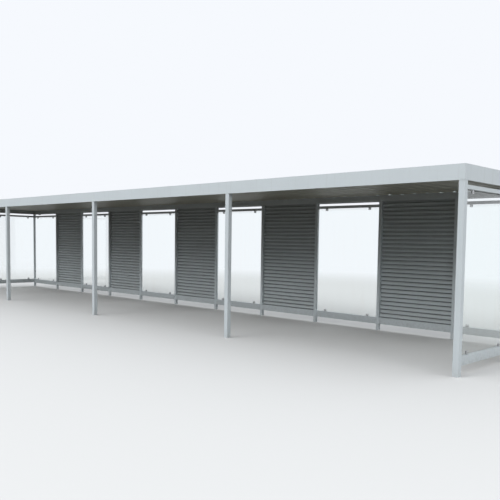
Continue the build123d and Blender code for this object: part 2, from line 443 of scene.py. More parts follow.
class Graph:
    """A node tree that is being wired, with short calls for the usual nodes.

    Attributes:
        tree: the node tree.
        place: the coordinates that its patterns read.
    """

    def __init__(self, tree: bpy.types.NodeTree) -> None:
        """Keeps the tree, which has no place yet."""
        self.tree, self.place = tree, None

    def wire(self, node: bpy.types.Node, values: dict) -> None:
        """Sets or feeds inputs of a node.

        Args:
            node: the node.
            values: input name or number to a value or to the output that feeds it.
        """
        for key, value in values.items():
            socket = node.inputs[key]
            if isinstance(value, Socket):
                self.tree.links.new(value, socket)
            elif isinstance(value, tuple) and socket.type == "RGBA":
                socket.default_value = (*value[:3], 1.0)
            else:
                socket.default_value = value

    def node(self, kind: str, values: dict | None = None, **settings: object) -> bpy.types.Node:
        """Adds a node.

        Args:
            kind: node type without its ShaderNode prefix, or a full name.
            values: input name or number to a value or to the output that feeds it.
            settings: properties of the node.

        Returns:
            The node.
        """
        made = self.tree.nodes.new(kind if kind.startswith("Node") else "ShaderNode" + kind)
        for key, value in settings.items():
            setattr(made, key, value)
        self.wire(made, values or {})
        return made

    def math(self, operation: str, *terms: object, clamp: bool = False) -> Socket:
        """Adds a maths node on numbers or outputs and gives its output."""
        return self.node("Math", dict(enumerate(terms)), operation=operation, use_clamp=clamp).outputs[0]

    def product(self, first: object, *others: object) -> Socket:
        """Multiplies numbers or outputs.

        Args:
            first: first number or output.
            others: the ones that it is multiplied by.

        Returns:
            The output that gives the product.
        """
        for other in others:
            first = self.math("MULTIPLY", first, other)
        return first

    def ramp(self, value: Socket, span: tuple, to: tuple = (0.0, 1.0)) -> Socket:
        """Eases a value from one range to another and holds it at the ends.

        Args:
            value: the value.
            span: the range that it is eased over.
            to: the range that comes out.

        Returns:
            The eased output.
        """
        names = ("Value", "From Min", "From Max", "To Min", "To Max")
        values = dict(zip(names, (value, *span, *to)))
        return self.node("MapRange", values, interpolation_type="SMOOTHSTEP").outputs[0]

    def noise(self, waves: object, detail: float) -> Socket:
        """Adds a noise.

        Args:
            waves: waves in a metre, or a tuple of them for the three axes.
            detail: detail of the noise.

        Returns:
            The output that gives its value.
        """
        place = self.place
        if isinstance(waves, tuple):
            place = self.node("VectorMath", {0: place, 1: waves}, operation="MULTIPLY").outputs[0]
            waves = 1.0
        return self.node("TexNoise", {"Vector": place, "Scale": waves, "Detail": detail}).outputs[0]

    def patches(self, waves: object, detail: float, span: Span, to: Span = (0.0, 1.0)) -> Socket:
        """A noise of so many waves and so much detail, eased from a span of its values to a range."""
        return self.ramp(self.noise(waves, detail), span, to)

    def rise(self, vector: Socket) -> Socket:
        """Z part of a place or a direction."""
        return self.node("SeparateXYZ", {0: vector}).outputs["Z"]

    def mixed(self, share: object, first: object, second: object) -> Socket:
        """Mixes two colours by a share."""
        return self.node("Mix", {0: share, 6: first, 7: second}, data_type="RGBA").outputs[2]


def new_group(name: str, inputs: dict[str, str], outputs: dict[str, str]) -> tuple[Graph, object, object]:
    """Starts a shader group, whose first input is the place that its patterns read.

    Args:
        name: name of the group.
        inputs: names of the other inputs to Float, Color or Vector.
        outputs: output names to Float, Color or Vector.

    Returns:
        The group's graph, its input sockets by name and its output node.
    """
    tree = bpy.data.node_groups.new(name, "ShaderNodeTree")
    for way, sockets in (("INPUT", {"Place": "Vector", **inputs}), ("OUTPUT", outputs)):
        for label, kind in sockets.items():
            tree.interface.new_socket(label, in_out=way, socket_type="NodeSocket" + kind)
    graph = Graph(tree)
    given = graph.node("NodeGroupInput").outputs
    graph.place = given["Place"]
    return graph, given, graph.node("NodeGroupOutput")


def emptied(owner: bpy.types.ID) -> Graph:
    """Empties the node tree of a material or a world.

    Args:
        owner: the material or the world.

    Returns:
        The graph of its tree.
    """
    owner.use_nodes = True
    owner.node_tree.nodes.clear()
    return Graph(owner.node_tree)


class Effects:
    """Shader groups that several finishes share."""

    def __init__(self) -> None:
        """Builds each group once."""
        self.grain = self.build_grain()
        self.weather = self.build_weather()

    @staticmethod
    def build_grain() -> bpy.types.NodeTree:
        """Fine uneven skin of a sprayed coat: a fine noise on a wider one.

        Returns:
            A group that puts out the height of the skin in metres.
        """
        inputs = {"Waves": "Float", "Depth": "Float"}
        graph, given, out = new_group("Sprayed skin", inputs, {"Height": "Float"})
        fine = graph.noise(given["Waves"], detail=1.0)
        wide = graph.noise(graph.product(given["Waves"], 0.12), detail=2.0)
        both = graph.math("ADD", fine, graph.product(wide, 2.0))
        graph.wire(out, {"Height": graph.product(both, given["Depth"])})
        return graph.tree

    @staticmethod
    def build_weather() -> bpy.types.NodeTree:
        """Weather on an outdoor coat: clouded tone, runs of dirt, splashes at the foot, dust on top.

        The runs are a noise that is drawn out along Z. The splash mask falls from 1 at the
        floor to 0 at the splash height, broken up by a noise. Dust lies where the normal
        points up.

        Returns:
            A group that puts out a colour and the share of dirt.
        """
        graph, given, out = new_group(
            "Outdoor weather",
            {"Coat": "Color", "Dirt": "Color", "Cloud": "Float", "Runs": "Float", "Splash": "Float",
             "Splash Height": "Float", "Dust": "Float"},
            {"Color": "Color", "Dirt Share": "Float"})
        cloud = graph.patches(waves=1.7, detail=4.0, span=(0.3, 0.7), to=(-1.0, 1.0))
        fine = graph.patches(waves=23.0, detail=3.0, span=(0.3, 0.7), to=(-0.4, 0.4))
        bright = graph.math("ADD", graph.product(graph.math("ADD", cloud, fine), given["Cloud"]), 1.0)
        toned = graph.node("HueSaturation", {"Color": given["Coat"], "Value": bright}).outputs[0]
        runs = graph.patches(waves=(21.0, 21.0, 0.9), detail=3.0, span=(0.54, 0.8))
        broken = graph.patches(waves=31.0, detail=4.0, span=(0.3, 0.75), to=(0.35, 1.0))
        foot = graph.ramp(graph.rise(graph.place), (0.0, given["Splash Height"]), (1.0, 0.0))
        up = graph.ramp(graph.rise(graph.node("NewGeometry").outputs["Normal"]), (0.5, 0.95))
        settled = graph.patches(waves=6.0, detail=5.0, span=(0.25, 0.7), to=(0.4, 1.0))
        runs, splash = graph.product(runs, given["Runs"]), graph.product(foot, broken, given["Splash"])
        dust = graph.product(up, settled, given["Dust"])
        share = graph.math("ADD", graph.math("ADD", runs, splash), dust, clamp=True)
        graph.wire(out, {"Color": graph.mixed(share, toned, given["Dirt"]), "Dirt Share": share})
        return graph.tree

    def skin(self, graph: Graph, waves: float, depth: float, strength: float) -> Socket:
        """Bumps a surface with the sprayed skin.

        Args:
            graph: graph of the material.
            waves: waves of the skin in a metre.
            depth: depth of the skin.
            strength: strength of the bump.

        Returns:
            The output that gives the normal.
        """
        skin = graph.node("Group", {"Place": graph.place, "Waves": waves, "Depth": depth},
                          node_tree=self.grain)
        bump = {"Height": skin.outputs["Height"], "Distance": 1.0, "Strength": strength}
        return graph.node("Bump", bump).outputs[0]


@dataclass(frozen=True)
class Finish:
    """A surface finish, of which each kind works out its own shader inputs."""

    name: str
    colour: Colour  # base colour, linear

    def inputs(self, graph: Graph, effects: Effects) -> dict[str, object]:
        """Inputs of the principled shader, which each kind of finish gives."""
        raise NotImplementedError

    def material(self, effects: Effects) -> Material:
        """Builds the material on its object coordinates.

        Args:
            effects: groups that the finishes share.

        Returns:
            The material.
        """
        material = bpy.data.materials.new(self.name)
        graph = emptied(material)
        graph.place = graph.node("TexCoord").outputs["Object"]
        shader = graph.node("BsdfPrincipled", self.inputs(graph, effects))
        graph.node("OutputMaterial", {"Surface": shader.outputs[0]})
        return material


@dataclass(frozen=True)
class CoatFinish(Finish):
    """Sprayed or coil-coated paint on steel, weathered outdoors; a folded sheet can also carry painted
    shade.
    """

    roughness: float = 0.42
    dirt: Colour = srgb(150, 145, 132)  # colour of the dirt that settles on it
    painted_shade: Colour = srgb(46, 46, 43)  # colour of the painted shade in its folds and high up
    cloud: float = 0.02
    runs: float = 0.05
    splash: float = 0.2
    splash_height: float = 0.16
    dust: float = 0.25
    marked_shade: float = 0.0  # strength of the painted shade where the vertex mark of a folded sheet says
    marked_shade_heights: Span = (0.7, 2.0)  # heights between which the painted shade falls to half its strength
    film: float = 0.0  # strength of the painted shade that darkens a sheet towards its top
    # heights between which that painted shade grows
    top_shade_heights: Span = (1.6, 2.1)
    skin_waves: float = 420.0  # waves of the skin in a metre
    skin_depth: float = 0.00006
    skin_bump: float = 0.6
    dull: float = 0.3  # roughness that the dirt adds

    def inputs(self, graph: Graph, effects: Effects) -> dict[str, object]:
        """Weathered coat; a folded sheet gets painted shade by its vertex mark and more painted shade
        high up.

        Args:
            graph: graph of the material.
            effects: groups that the finishes share.

        Returns:
            Inputs of the shader.
        """
        weather = graph.node("Group", {
            "Place": graph.place, "Coat": self.colour, "Dirt": self.dirt, "Cloud": self.cloud,
            "Runs": self.runs, "Splash": self.splash, "Splash Height": self.splash_height,
            "Dust": self.dust}, node_tree=effects.weather).outputs
        colour = weather["Color"]
        if self.marked_shade:
            # painted shade where the vertex mark says, patchy and stronger low down
            recess = graph.node("Attribute", attribute_name=SHADE_MARK).outputs["Fac"]
            patchy = graph.patches(waves=9.0, detail=4.0, span=(0.2, 0.7), to=(0.8, 1.0))
            level = graph.rise(graph.place)
            low_down = graph.ramp(level, self.marked_shade_heights, (self.marked_shade, 0.5 * self.marked_shade))
            colour = graph.mixed(graph.product(recess, patchy, low_down), colour, self.painted_shade)
            # painted shade that darkens a sheet towards its top
            film = graph.ramp(level, self.top_shade_heights, (0.0, self.film))
            colour = graph.mixed(film, colour, self.painted_shade)
        roughness = (self.roughness, self.roughness + self.dull)
        rough = graph.ramp(weather["Dirt Share"], (0.0, 0.7), roughness)
        normal = effects.skin(graph, self.skin_waves, self.skin_depth, self.skin_bump)
        return {"Base Color": colour, "Roughness": rough, "Normal": normal}


@dataclass(frozen=True)
class MetalFinish(Finish):
    """Bare or anodised metal with a drawn grain along X."""

    roughness: float
    tarnish: Colour
    spread: float = 0.5  # strength of the dull patches

    def inputs(self, graph: Graph, effects: Effects) -> dict[str, object]:
        """Dull patches over a drawn grain.

        Args:
            graph: graph of the material.
            effects: groups that the finishes share.

        Returns:
            Inputs of the shader.
        """
        dull = graph.patches(waves=45.0, detail=4.0, span=(0.42, 0.72), to=(0.0, self.spread))
        roughness = (self.roughness - 0.06, self.roughness + 0.1)
        rough = graph.patches(waves=(40.0, 900.0, 900.0), detail=2.0, span=(0.2, 0.8), to=roughness)
        return {"Base Color": graph.mixed(dull, self.colour, self.tarnish), "Roughness": rough,
                "Metallic": 1.0, "Normal": effects.skin(graph, waves=700.0, depth=0.00003, strength=0.5)}


@dataclass(frozen=True)
class GlassFinish(Finish):
    """Clear float glass with a thin film of dried rain; its colour tints what passes each face."""

    film: float  # roughness where the film is thickest
    film_colour: Colour = srgb(249, 250, 248)

    def inputs(self, graph: Graph, effects: Effects) -> dict[str, object]:
        """Clear glass with a film that is thicker low down and in runs.

        Args:
            graph: graph of the material.
            effects: groups that the finishes share; not used.

        Returns:
            Inputs of the shader.
        """
        low = graph.ramp(graph.rise(graph.place), (0.25, 1.1), (1.0, 0.25))
        runs = graph.patches(waves=(16.0, 16.0, 1.1), detail=3.0, span=(0.45, 0.8))
        spots = graph.patches(waves=95.0, detail=2.0, span=(0.55, 0.8))
        marks = graph.math("MULTIPLY", graph.math("ADD", runs, spots), low, clamp=True)
        rough = graph.ramp(marks, (0.0, 1.0), (0.0, self.film))
        return {"Base Color": graph.mixed(marks, self.colour, self.film_colour), "Roughness": rough,
                "IOR": 1.5, "Transmission Weight": 1.0}


@dataclass(frozen=True)
class RubberFinish(Finish):
    """Matt black rubber of the glazing pads."""

    bloom: Colour = srgb(72, 72, 72)

    def inputs(self, graph: Graph, effects: Effects) -> dict[str, object]:
        """Dull black with a bloom of grey.

        Args:
            graph: graph of the material.
            effects: groups that the finishes share.

        Returns:
            Inputs of the shader.
        """
        bloom = graph.patches(waves=60.0, detail=3.0, span=(0.4, 0.75), to=(0.0, 0.5))
        return {"Base Color": graph.mixed(bloom, self.colour, self.bloom),
                "Roughness": graph.ramp(bloom, (0.0, 0.5), (0.62, 0.85)),
                "Normal": effects.skin(graph, waves=1500.0, depth=0.00004, strength=0.7)}


class Finishes:
    """All the finishes of the shelter, built once."""

    def __init__(self) -> None:
        """Builds the groups first and then each material."""
        effects = Effects()
        thin = {"skin_depth": 0.00003}
        dry = {"runs": 0.0, "splash": 0.0}
        self.frame_paint = CoatFinish("Light grey frame paint", PAINT).material(effects)
        # Bottom rails: the splash mask makes them darker towards the foot, up to 0.36 m.
        self.rail_paint = CoatFinish("Rail paint darker at the foot", PAINT, splash=0.55, splash_height=0.36,
                                     dirt=srgb(142, 144, 141)).material(effects)
        self.edge_paint = CoatFinish("Light grey roof edge", PAINT, roughness=0.38, runs=0.12,
                                     splash=0.0, cloud=0.015).material(effects)
        # Wall sheets: painted shade in the troughs and on the down-facing flanks, and painted shade
        # towards the top.
        self.wall_coat = CoatFinish("Light grey wall sheet", srgb(188, 196, 199), roughness=0.36,
                                    marked_shade=1.0, film=0.15, runs=0.08, splash=0.3, splash_height=0.6,
                                    **thin).material(effects)
        # Roof underside: painted shade on the flats, so the rib flanks stand lighter.
        self.roof_coat = CoatFinish("Roof sheet back coat", SHEET_BACK, roughness=0.46, marked_shade=0.36,
                                    marked_shade_heights=(2.0, 3.0), dust=0.2, **dry, **thin).material(effects)
        self.roof_top_coat = CoatFinish("Roof sheet top coat", srgb(186, 191, 192), roughness=0.4,
                                        dust=0.28, dirt=srgb(128, 127, 120), **dry,
                                        **thin).material(effects)
        self.gutter_coat = CoatFinish("Gutter coat", srgb(188, 194, 196), roughness=0.4, runs=0.25,
                                      splash=0.0, dust=0.7, dirt=srgb(104, 98, 84)).material(effects)
        self.screw_coat = CoatFinish("Grey screw heads", srgb(186, 192, 195), roughness=0.45, dust=0.3,
                                     **dry).material(effects)
        self.clamp_metal = MetalFinish("Satin stainless clamps", srgb(196, 197, 198), roughness=0.34,
                                       tarnish=srgb(160, 160, 158)).material(effects)
        self.stainless = MetalFinish("Stainless screws", srgb(190, 190, 188), roughness=0.3,
                                     tarnish=srgb(140, 138, 132), spread=0.3).material(effects)
        self.rubber = RubberFinish("Glazing rubber", srgb(38, 38, 40)).material(effects)
        self.glass = GlassFinish("Clear glass", srgb(251, 254, 253), film=0.03).material(effects)
        self.glass_edge = GlassFinish("Green glass edge", srgb(176, 214, 198),
                                      film=0.12).material(effects)


@dataclass
class Plan:
    """Faces and levels of the frame that several sub-assemblies share, read from its nodes."""

    roof_fall: float = 0.020  # drop of the roof from the front face to the back face
    end_rail_drop: float = 0.050  # open gap between roof edge and end top rail
    top_rail: float = 0.050  # height of a top rail
    glass_gap: float = 0.012  # gap between a pane and the frame round it
    glass: float = 0.008  # thickness of a pane

    def __post_init__(self) -> None:
        """Reads the main planes."""
        edge_low, edge_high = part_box("front_roof_edge")
        post_low, post_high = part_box("back_post_1")
        self.half = edge_high.x
        self.front_y, self.back_y = edge_low.y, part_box("back_roof_edge")[1].y
        self.wall_y, self.post_back_y = post_low.y, post_high.y
        self.end_x = float(middle("back_post_12")[0])
        self.slope = self.roof_fall / (self.back_y - self.front_y)
        self.end_rail_top = edge_low.z - self.end_rail_drop
        self.end_rail_foot = self.end_rail_top - self.top_rail

    def falling(self, level: float, y: np.ndarray | float) -> np.ndarray | float:
        """Height at a depth y of a line that has that level at the front face."""
        return level - self.slope * (y - self.front_y)

    def back_fields(self) -> list[Span]:
        """Clear limits along X of the eleven back wall fields."""
        posts = [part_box(f"back_post_{i}") for i in range(1, 13)]
        return [(a[1].x, b[0].x) for a, b in zip(posts[:-1], posts[1:])]

    def end_fields(self, side: Side) -> list[Span]:
        """Clear limits along Y of the two fields of an end wall.

        Args:
            side: the end.

        Returns:
            The limits of the front field and of the back one.
        """
        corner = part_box("front_post_5" if side is Side.RIGHT else "front_post_1")
        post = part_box(f"{side.word}_middle_post")
        return [(corner[1].y, post[0].y), (post[1].y, self.wall_y)]


@dataclass
class Assembly:
    """A sub-assembly of the shelter."""

    plan: Plan
    finishes: Finishes


@dataclass
class SteelFrame(Assembly):
    """Posts, beams and rails, with the weld beads where rails and beams meet the posts."""

    weld: float = 0.004  # leg of a weld bead
    rail_corner: float = 0.003  # corner radius of a rail's outline
    post_corner: float = 0.005  # corner radius of a post's outline
    steps: int = 2  # arc steps at each corner

    def bead(self, outline: np.ndarray) -> Shape:
        """A fillet weld round an outline in the XY plane.

        The corners of its section stand out from the outline, along the outline's normal,
        by weld times (-0.3, 1, 0.62, 0.3, -0.3), and up by weld times (0, 0, 0.42, 1, 1).

        Args:
            outline: points round the tube, n by 2.

        Returns:
            The bead, with its foot on the XY plane.
        """
        step = np.roll(outline, -1, 0) - np.roll(outline, 1, 0)
        outward = np.stack([step[:, 1], -step[:, 0]], -1)
        outward /= np.linalg.norm(outward, axis=1, keepdims=True)
        out = np.array([-0.3, 1.0, 0.62, 0.3, -0.3]) * self.weld
        up = np.array([0.0, 0.0, 0.42, 1.0, 1.0]) * self.weld
        rings = outline[:, None, :] + outward[:, None, :] * out[None, :, None]
        rings = np.concatenate([rings, np.broadcast_to(up[None, :, None], (*rings.shape[:2], 1))], -1)
        return carried(rings, closed=True)

    def end_pair(self, node: str, limits: Span) -> list[Shape]:
        """Beads at the two ends of one rail; the end walls' top rails fall with the roof.

        Args:
            node: node of the rail.
            limits: places of the rail's ends along its length.

        Returns:
            The two beads.
        """
        low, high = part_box(node)
        along_x = node.startswith("back")
        falls = not along_x and node.endswith("top_rails")
        height = self.plan.top_rail if falls else high.z - low.z
        width = high.y - low.y if along_x else high.x - low.x
        bead = self.bead(rounded_outline(width, height, self.rail_corner, self.steps))
        pair = []
        for place, way in zip(limits, (1, -1)):
            x, y, z = middle(node)
            if falls:
                z = self.plan.falling(self.plan.end_rail_top, place) - height / 2
            if along_x:
                turned = bead.placed((place, y, z), axes((0, 1, 0), (0, 0, 1), (way, 0, 0)))
            else:
                turned = bead.placed((x, place, z), axes((1, 0, 0), (0, 0, 1), (0, way, 0)))
            pair.append(turned.outward())  # one of the two turns is a mirror
        return pair

    def rail_beads(self) -> list[Shape]:
        """Beads at both ends of every rail of the back wall and of the end walls.

        Returns:
            The beads.
        """
        beads = []
        for i, limits in enumerate(self.plan.back_fields()):
            beads += self.end_pair("back_bottom_rails", limits)
            if i % 2 == 0:
                beads += self.end_pair("back_top_rails", limits)
        for side in Side:
            for part in ("bottom_rails", "top_rails"):
                for limits in self.plan.end_fields(side):
                    beads += self.end_pair(f"{side.word}_{part}", limits)
        return beads

    def head_beads(self, posts: list[str]) -> list[Shape]:
        """Beads round the heads of the posts, under the beams.

        Args:
            posts: nodes of the posts.

        Returns:
            The beads.
        """
        beads = []
        for low, high in map(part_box, posts):
            width, depth = high.x - low.x, high.y - low.y
            bead = self.bead(rounded_outline(width, depth, self.post_corner, self.steps))
            beads.append(bead.placed((low.x + width / 2, low.y + depth / 2, high.z), FACING_DOWN))
        return beads

    def build(self) -> Iterator[Object]:
        """Paints every post, beam and rail and adds the welds.

        Returns:
            Each new piece in turn.
        """
        nodes, paint = sorted(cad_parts), self.finishes.frame_paint
        posts = [name for name in nodes if "post" in name]
        dress(posts + [name for name in nodes if name.endswith(("_beam", "_rails"))], paint)
        dress([name for name in nodes if name.endswith("bottom_rails")], self.finishes.rail_paint)
        yield piece("rail_weld_beads", joined(self.rail_beads()), Slot.RAILS, [paint])
        yield piece("post_head_weld_beads", joined(self.head_beads(posts)), Slot.POSTS, [paint])


@dataclass
class RoofDeck(Assembly):
    """Trapezoidal roof sheets with side laps, stiffening beads and screws."""

    rib_pitch: float = 0.250
    rib_height: float = 0.033
    crown: float = 0.030  # flat on top of a rib
    foot: float = 0.076  # width of a rib at its foot
    bend: float = 0.14  # share of a flank over which each of its two bends is eased
    thickness: float = 0.001
    ribs_per_sheet: int = 4  # pitches that one sheet covers
    bead_width: float = 0.022
    bead_height: float = 0.0025
    bead_places: tuple[float, ...] = (-0.036, 0.036)  # places of the beads from the middle of the flat
    lap_lift: float = 0.0013  # how far a lapping rib stands over the rib below it
    lap_over: float = 0.006  # how far a sheet runs past the foot of the rib that laps
    lap_under: float = 0.012  # how far a sheet starts before the crown that it is lapped on
    # how far the visible sheets stop before the node's end over the trough, so that daylight shows
    # through the ribs over the back beam
    short: float = 0.060
    rows: int = 4  # places down the fall where a sheet has points
    mark_edge: float = 0.002  # width over which the mark of a flat grows at a rib's foot
    end_distance: float = 0.018  # axis of the back row of screws from the sheets' back end
    side_distance: float = 0.1  # axis of the outer screws from the sheets' side ends
    seal: float = 0.0008  # how far a screw's seal holds it over the flats
    lap_screws: int = 5
    lap_ends: Span = (0.25, 0.2)  # distances of the first and the last of them from the sheets' ends

    def __post_init__(self) -> None:
        """Reads the extent of the roof sheet and works out its ribs."""
        low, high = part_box("roof_sheet")
        self.x0, self.x1, self.y0, self.y1 = low.x, high.x, low.y, high.y - self.short
        self.seat = high.z - self.rib_height - self.thickness
        self.ribs = int((self.x1 - self.x0 - self.foot) / self.rib_pitch)
        self.flank = (self.foot - self.crown) / 2
        self.first = -self.ribs / 2 * self.rib_pitch
        self.cover = self.ribs_per_sheet * self.rib_pitch
        self.count = self.ribs // self.ribs_per_sheet

    def seat_level(self, y: np.ndarray | float) -> np.ndarray | float:
        """Level of the sheet's flats at a depth y."""
        return self.seat - self.plan.slope * (y - self.y0)

    def from_rib(self, x: np.ndarray) -> np.ndarray:
        """Distance of x from the middle of the nearest rib, with its sign."""
        place = x / self.rib_pitch - self.ribs / 2
        return (place - np.round(place)) * self.rib_pitch

    def height(self, x: np.ndarray) -> np.ndarray:
        """Height of the sheet over its flats.

        With u the distance to the nearest rib: a rounded ramp from 0 at the foot to the rib
        height at the crown, plus a raised cosine for each bead in the flats.

        Args:
            x: places along the roof.

        Returns:
            The height at each place.
        """
        u = self.from_rib(x)
        rib = self.rib_height * eased_ramp((self.foot / 2 - np.abs(u)) / self.flank, self.bend)
        for bead in self.bead_places:
            away = np.abs(np.mod(u, self.rib_pitch) - self.rib_pitch / 2 - bead) / (self.bead_width / 2)
            rib = rib + self.bead_height * 0.5 * (1 + np.cos(math.pi * np.minimum(away, 1)))
        return rib

    def stations(self) -> np.ndarray:
        """Places across one pitch where the profile needs a point, from the middle of a rib.

        Returns:
            The places: four at each bend, six at each bead and the middles.
        """
        bend = self.flank * self.bend * np.array([-1.0, -0.35, 0.35, 1.0])
        half = [0.0, *(self.crown / 2 + bend), *(self.foot / 2 + bend)]
        half += [self.rib_pitch / 2 - bead + self.bead_width / 2 * k
                 for bead in self.bead_places if bead > 0 for k in (1, 0.6, 0.2, -0.2, -0.6, -1)]
        right = np.array(half)
        right = right[right < self.rib_pitch / 2]
        return np.unique(np.round(np.concatenate([right, -right, [self.rib_pitch / 2]]), 6))

    def sheet(self, start: float, end: float, lapped: bool) -> Shape:
        """One sheet, whose right end lies over its neighbour if lapped.

        The lower face is (x, y, seat level + height(x) + lift), where the lift grows
        evenly across a lapping sheet; the upper face is offset along the profile's normal.

        Args:
            start: x where it starts.
            end: x where it ends.
            lapped: whether it laps its neighbour.

        Returns:
            The sheet, whose top has material 1.
        """
        pitches = np.arange(-1, self.ribs + 2) - self.ribs / 2
        xs = (pitches[:, None] * self.rib_pitch + self.stations()[None]).ravel()
        xs = np.unique(np.round(np.concatenate([[start, end], xs[(xs > start) & (xs < end)]]), 6))
        lift = self.lap_lift * (xs - start) / (end - start) if lapped else 0 * xs
        line = np.stack([xs, self.height(xs) + lift], -1)
        over = offset_line(line, self.thickness)
        over[0, 0], over[-1, 0] = line[0, 0], line[-1, 0]
        ys = np.linspace(self.y0, self.y1, self.rows)

        def face(profile: np.ndarray) -> np.ndarray:
            """Carries a profile down the fall of the roof."""
            x, z = np.broadcast_arrays(profile[:, 0], profile[:, 1] + self.seat_level(ys)[:, None])
            return np.stack([x, np.broadcast_to(ys[:, None], x.shape), z], -1)

        shape = thick_sheet(face(line), face(over))
        under, upper, edge = shape.faces
        shape.faces = [under, (upper[0], 1), edge]
        return shape

    def sheets(self) -> Shape:
        """All the sheets from the left end to the right end.

        Returns:
            The sheets as one shape.
        """
        shapes = []
        for i in range(self.count):
            lap, last = self.first + i * self.cover, i == self.count - 1
            start = lap - self.crown / 2 - self.lap_under if i else self.x0
            end = self.x1 if last else self.first + (i + 1) * self.cover + (self.foot / 2 + self.lap_over)
            shapes.append(self.sheet(start, end, not last))
        return joined(shapes)

    def flats(self, places: np.ndarray) -> np.ndarray:
        """Marks the flats, where shade is painted, with 1 and the ribs with 0."""
        away = np.abs(self.from_rib(places[:, 0]))
        return np.clip((away - self.foot / 2) / self.mark_edge + 0.5, 0, 1)

    def screws(self) -> Shape:
        """Screws through the flats into the beams, and along each side lap.

        Returns:
            The screws as one shape.
        """
        xs = (np.arange(self.ribs + 2) - self.ribs / 2 - 0.5) * self.rib_pitch
        xs[0], xs[-1] = self.x0 + self.side_distance, self.x1 - self.side_distance
        rows = [float(middle("front_beam")[1]), self.y1 - self.end_distance]
        places = [(x, y, self.seat_level(y) + self.thickness + self.seal) for y in rows for x in xs]
        top = self.rib_height + self.thickness + self.lap_lift
        ys = np.linspace(self.y0 + self.lap_ends[0], self.y1 - self.lap_ends[1], self.lap_screws)
        places += [(self.first + i * self.cover, y, self.seat_level(y) + top)
                   for i in range(1, self.count) for y in ys]
        return sheet_screw(washer=0.016, washer_thickness=0.002).placed(places)

    def build(self) -> Iterator[Object]:
        """Makes the sheets and their screws.

        Returns:
            Each new piece in turn.
        """
        coats = [self.finishes.roof_coat, self.finishes.roof_top_coat]
        deck = piece("roof_deck", self.sheets(), Slot.ROOF_SHEET, coats)
        mark_shade(deck, self.flats)
        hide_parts("roof_sheet")
        yield deck
        yield piece("roof_screws", self.screws(), Slot.ROOF_SHEET, [self.finishes.screw_coat])


@dataclass
class RoofEdge(Assembly):
    """Folded roof edge with rivets along its top fold."""

    rivet_spacing: float = 0.5
    rivet_inset: float = 0.036  # rivet axis from the outer face
    # radii of a rivet head from its foot up
    rivet_radii: tuple[float, ...] = (0.0055, 0.0052, 0.0040, 0.0018)
    # heights of those radii over the fold
    rivet_levels: tuple[float, ...] = (-0.0005, 0.0009, 0.0016, 0.0020)
    front_end: float = 0.2  # first front rivet from the end of the roof
    side_end: float = 0.25  # first rivet of an end fold from the face of the roof
    side_count: int = 6

    def build(self) -> Iterator[Object]:
        """Paints the four edges and sets flat domed rivets along the front and end top folds.

        Returns:
            Each new piece in turn.
        """
        paint, plan, top = self.finishes.edge_paint, self.plan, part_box("front_roof_edge")[1].z
        dress([f"{word}_roof_edge" for word in ("front", "back", "left", "right")], paint)
        reach = plan.half - self.front_end
        xs = np.linspace(-reach, reach, round(2 * reach / self.rivet_spacing) + 1)
        ys = np.linspace(plan.front_y + self.side_end, plan.back_y - self.side_end, self.side_count)
        places = [(x, plan.front_y + self.rivet_inset, top) for x in xs]
        places += [(side.value * (plan.half - self.rivet_inset), y, plan.falling(top, y))
                   for side in Side for y in ys]
        rivets = carried(circles(self.rivet_radii, self.rivet_levels, steps=10)).placed(places)
        yield piece("roof_edge_rivets", rivets, Slot.ROOF_EDGE, [paint])


@dataclass
class RearGutter(Assembly):
    """Trough gutter with straps across its mouth."""

    strap_width: float = 0.025
    strap_thickness: float = 0.003
    strap_edge: float = 0.001
    strap_count: int = 17
    strap_end: float = 0.3  # first strap from the end of the trough

    def build(self) -> Iterator[Object]:
        """Coats the trough and lays flat straps from its beam side to its roof edge side.

        Returns:
            Each new piece in turn.
        """
        coat, (low, high) = self.finishes.gutter_coat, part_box("rear_gutter")
        dress(["rear_gutter"], coat)
        strap = rounded_block(self.strap_width, high.y - low.y, self.strap_thickness, self.strap_edge)
        y, z = (low.y + high.y) / 2, high.z + self.strap_thickness / 2
        xs = np.linspace(low.x + self.strap_end, high.x - self.strap_end, self.strap_count)
        yield piece("gutter_straps", strap.placed([(x, y, z) for x in xs]), Slot.GUTTER, [coat])


